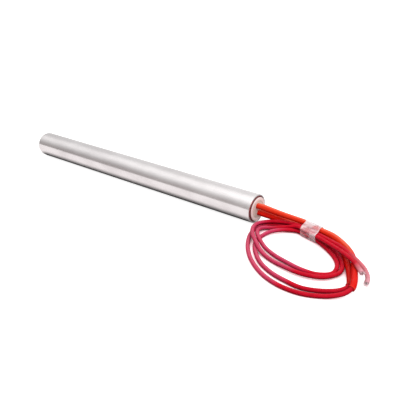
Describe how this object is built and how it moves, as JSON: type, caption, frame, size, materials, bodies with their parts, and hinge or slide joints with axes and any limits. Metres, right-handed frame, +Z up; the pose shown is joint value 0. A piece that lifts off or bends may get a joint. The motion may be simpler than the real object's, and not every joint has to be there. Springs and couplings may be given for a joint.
{
  "type": "cartridge heater",
  "caption": "Straight cartridge heater with a polished steel sheath, white ceramic head and coiled red leads tied with clear tape.",
  "frame": {"origin": "centre of the sheath's mouth, on the sheath axis", "axes": "+X along the sheath axis from the closed end towards the leads, +Z up as it lies on a table"},
  "size_m": [0.2534, 0.0577, 0.016],
  "materials": {
    "polished_steel": "polished stainless with fine drawn lines",
    "core_ceramic": "matt fired ceramic",
    "resistance_alloy": "dull drawn wire",
    "magnesia": "packed powder",
    "nickel": "drawn nickel",
    "crimp_metal": "plated crimp barrel",
    "white_ceramic": "satin fired ceramic",
    "seal_silicone": "dark maroon silicone",
    "cement": "cast grey-green cement",
    "lead_braid": "varnished glass braid, crimson",
    "sleeve_braid": "coated braided sleeve, orange-red",
    "clear_tape": "clear tape over red leads"
  },
  "bodies": {
    "root": {"sheath": "polished_steel", "end_disc": "polished_steel", "base_spacer": "core_ceramic", "core_1": "core_ceramic", "core_2": "core_ceramic", "core_3": "core_ceramic", "core_4": "core_ceramic", "core_5": "core_ceramic", "winding": "resistance_alloy", "magnesia_fill": "magnesia", "short_pin": "nickel", "return_pin": "nickel", "head_spacer": "core_ceramic", "crimp_1": "crimp_metal", "crimp_2": "crimp_metal", "lead_end_1": "nickel", "lead_end_2": "nickel", "head_bush": "white_ceramic", "head_seal": "seal_silicone", "face_cement": "cement", "lead_1": "lead_braid", "lead_2": "lead_braid", "sleeve_1": "sleeve_braid", "sleeve_2": "sleeve_braid", "tape_band": "clear_tape"}
  },
  "joints": []
}
